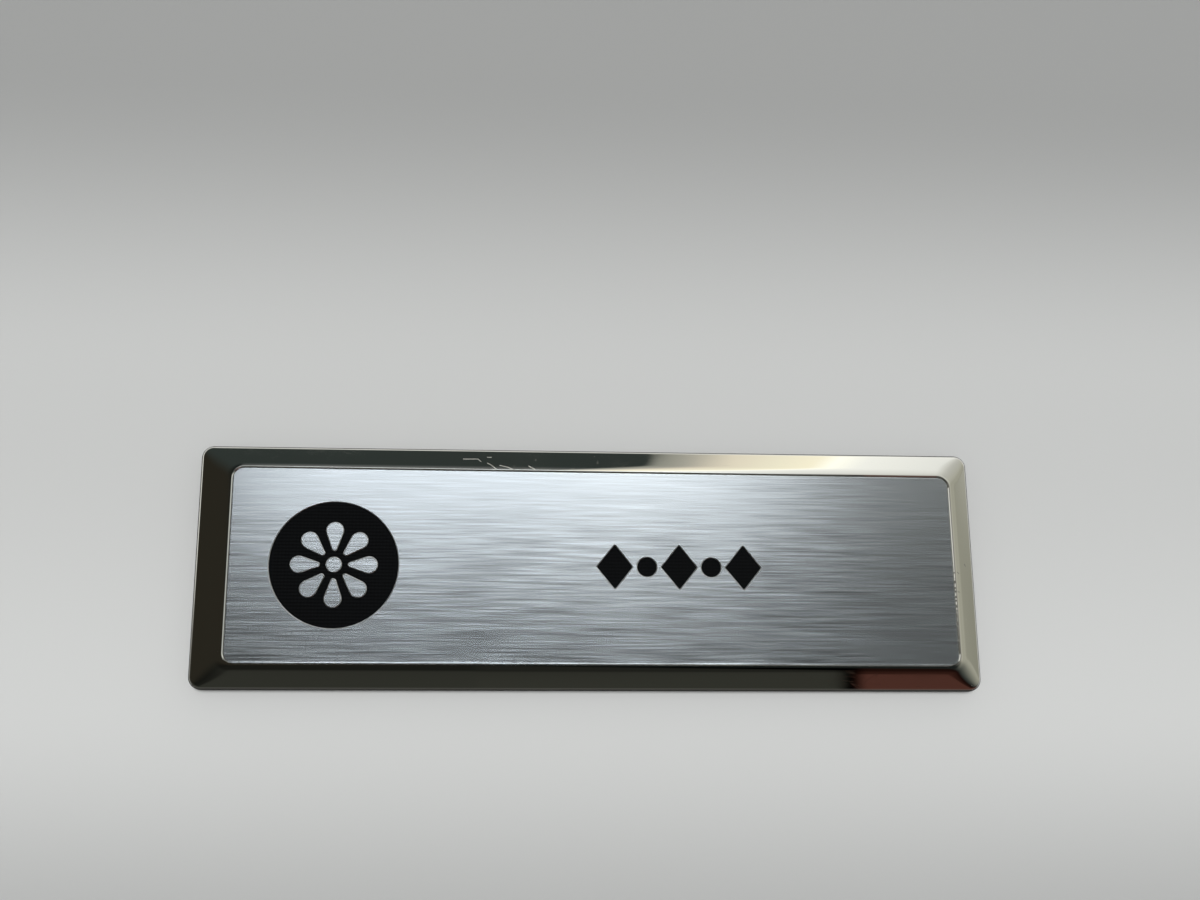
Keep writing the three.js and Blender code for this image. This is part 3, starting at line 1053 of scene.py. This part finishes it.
def make_studio():
    """The room round the badge, as its polished metal mirrors it: pale near the horizon, a narrow
    lamp above the badge's top, a bright wall at the top right, an olive one at the right, brown at
    the lower right, and dark elsewhere. The floor gets even light, and the camera sees pale paper."""
    world = bpy.data.worlds.new("studio")
    bpy.context.scene.world = world
    world.use_nodes = True
    tree = world.node_tree
    tree.nodes.clear()
    direction = put(tree, "ShaderNodeTexCoord").outputs["Generated"]
    parts = axes(tree, direction)
    x, y, z = parts["X"], parts["Y"], parts["Z"]

    def degrees(radians):
        return maths(tree, "DEGREES", radians)

    lean_y = degrees(maths(tree, "ARCTAN2", y, z))
    lean_x = degrees(maths(tree, "ARCTAN2", x, z))
    rise = degrees(maths(tree, "ARCSINE", z))
    aside = degrees(maths(tree, "ARCSINE", x))
    # Bearing is 0 towards the badge's top and 90 towards its right
    bearing = degrees(maths(tree, "ARCTAN2", x, y))

    def both(a, b):
        return maths(tree, "MULTIPLY", a, b)

    brown = both(ramp(tree, bearing, 104.0, 140.0), ramp(tree, aside, 13.5, 14.1))
    veil = window(tree, lean_y, 5.0, 34.0, 4.0, 10.0)
    at_right = window(tree, bearing, 50.0, 102.0, 14.0, 18.0)
    low = ramp(tree, rise, 23.0, 29.0, 1.0, 0.0)
    lower = ramp(tree, rise, 12.0, 18.0, 1.0, 0.0)
    lights = [
        # A faint light all round: cool behind and at the right, olive in front, dimmer at the left
        ((0.046, 0.058, 0.054), both(ramp(tree, rise, 52.0, 66.0, 1.0, 0.35),
                                    window(tree, bearing, -45.0, 121.0, 15.0, 6.0))),
        ((0.049, 0.051, 0.042), both(both(ramp(tree, rise, 54.0, 62.0, 1.0, 0.45),
                                          ramp(tree, bearing, 140.0, 152.0)),
                                     ramp(tree, aside, 12.85, 13.5, 1.0, 0.0))),
        ((0.045, 0.047, 0.039), both(ramp(tree, rise, 54.0, 66.0, 1.0, 0.35),
                                     ramp(tree, bearing, -130.0, -90.0, 1.0, 0.0))),
        ((0.033, 0.03, 0.022), window(tree, bearing, -105.0, -45.0, 15.0, 15.0)),
        # Pale paper round the horizon, dimmer in front and at the lower left
        ((0.95, 0.96, 0.93), both(low, window(tree, bearing, -79.5, 70.0, 2.0, 10.0))),
        ((0.55, 0.57, 0.58), both(lower, window(tree, bearing, 70.0, 118.0, 10.0, 10.0))),
        ((0.06, 0.06, 0.057), both(low, ramp(tree, bearing, 118.0, 150.0))),
        ((0.06, 0.06, 0.057), both(low, ramp(tree, bearing, -150.0, -110.0, 1.0, 0.0))),
        ((0.15, 0.15, 0.14), both(low, window(tree, bearing, -115.0, -79.5, 20.0, 2.0))),
        # A narrow bright lamp, leaning towards the top, its dimmer surroundings, and a faint veil
        ((5.1, 5.4, 5.6), both(window(tree, lean_y, 15.6, 19.3, 0.8, 0.8),
                                window(tree, lean_x, -9.5, 11.2, 3.0, 4.2))),
        ((0.21, 0.22, 0.215), both(window(tree, lean_y, 18.0, 30.0, 2.0, 12.0),
                                  window(tree, lean_x, -10.0, 12.0, 3.0, 4.0))),
        ((0.022, 0.024, 0.026), both(veil, window(tree, lean_x, -10.0, 27.0, 3.0, 6.0))),
        ((0.036, 0.037, 0.038), both(veil, window(tree, lean_x, 12.0, 27.0, 5.0, 6.0))),
        # A pale strip to the right of them
        ((0.4, 0.39, 0.34), both(window(tree, lean_y, 0.0, 26.0, 6.0, 6.0),
                                 window(tree, lean_x, 23.0, 33.0, 2.5, 4.0))),
        # Olive wall at the right
        ((0.35, 0.34, 0.275), both(at_right, window(tree, lean_x, 30.0, 80.0, 5.0, 5.0))),
        ((0.14, 0.14, 0.12), both(at_right, window(tree, lean_x, 32.0, 60.0, 5.0, 5.0))),
        # Brown at the lower right, in a brighter and a dimmer part
        ((0.062, 0.026, 0.02), both(brown, ramp(tree, lean_y, -33.35, -32.85, 1.0, 0.0))),
        ((0.046, 0.017, 0.012), both(brown, ramp(tree, lean_y, -33.0, -20.0, 1.0, 0.42))),
    ]
    # The wall at the top right, which the bevel's top mirrors from one end to the other
    wall_shape = both(ramp(tree, rise, 18.0, 26.0), ramp(tree, lean_y, 18.0, 22.0))
    lights.append((toned(tree, bearing, WALL_TONES), both(wall_shape, WALL_PEAK)))
    total = None
    for colour, mask in lights:
        part = put(tree, "ShaderNodeVectorMath", {"operation": "SCALE"}, i0=colour, Scale=mask)
        if total is None:
            total = part.outputs[0]
        else:
            total = put(
                tree, "ShaderNodeVectorMath", {"operation": "ADD"}, i0=total, i1=part.outputs[0]
            ).outputs[0]
    seen = put(tree, "ShaderNodeBackground", Color=(0.62, 0.625, 0.615, 1), Strength=1.0)
    lit = put(tree, "ShaderNodeBackground", Color=total, Strength=1.0)
    even = put(tree, "ShaderNodeBackground", Color=(0.2, 0.202, 0.198, 1), Strength=1.0)
    rays = put(tree, "ShaderNodeLightPath").outputs
    mixed = put(
        tree, "ShaderNodeMixShader",
        i0=rays["Is Diffuse Ray"], i1=lit.outputs[0], i2=even.outputs[0],
    )
    mixed = put(
        tree, "ShaderNodeMixShader",
        i0=rays["Is Camera Ray"], i1=mixed.outputs[0], i2=seen.outputs[0],
    )
    put(tree, "ShaderNodeOutputWorld", Surface=mixed.outputs[0])


def make_key_light():
    """A soft light overhead, which polished metal doesn't mirror."""
    data = bpy.data.lights.new("key", "AREA")
    data.shape = "DISK"
    data.size = 0.35
    data.energy = 7.3
    lamp = bpy.data.objects.new("key", data)
    place_of_lamp = Vector((-0.04, -0.05, 1.2))
    lamp.location = place_of_lamp
    lamp.rotation_euler = (-place_of_lamp).to_track_quat("-Z", "Y").to_euler()
    lamp.visible_glossy = False
    bpy.context.scene.collection.objects.link(lamp)


make_camera()
make_floor()
make_studio()
make_key_light()
bpy.context.scene.view_settings.view_transform = "Standard"

scratches = scratch_group()
haze = haze_group()
polished = polished_steel(scratches, haze, marked_scratch_group())
brushed = brushed_steel(brushing_group(hairline_group()))
black = black_enamel(haze)

bezel_frame(polished, dull_steel_painted_dark(haze))
face_plate(brushed, cut_steel())
emblem_enamel(black)
for node in MARK_NODES:
    name_mark(node, black)
fastening_bar(plated_steel(scratches, haze))
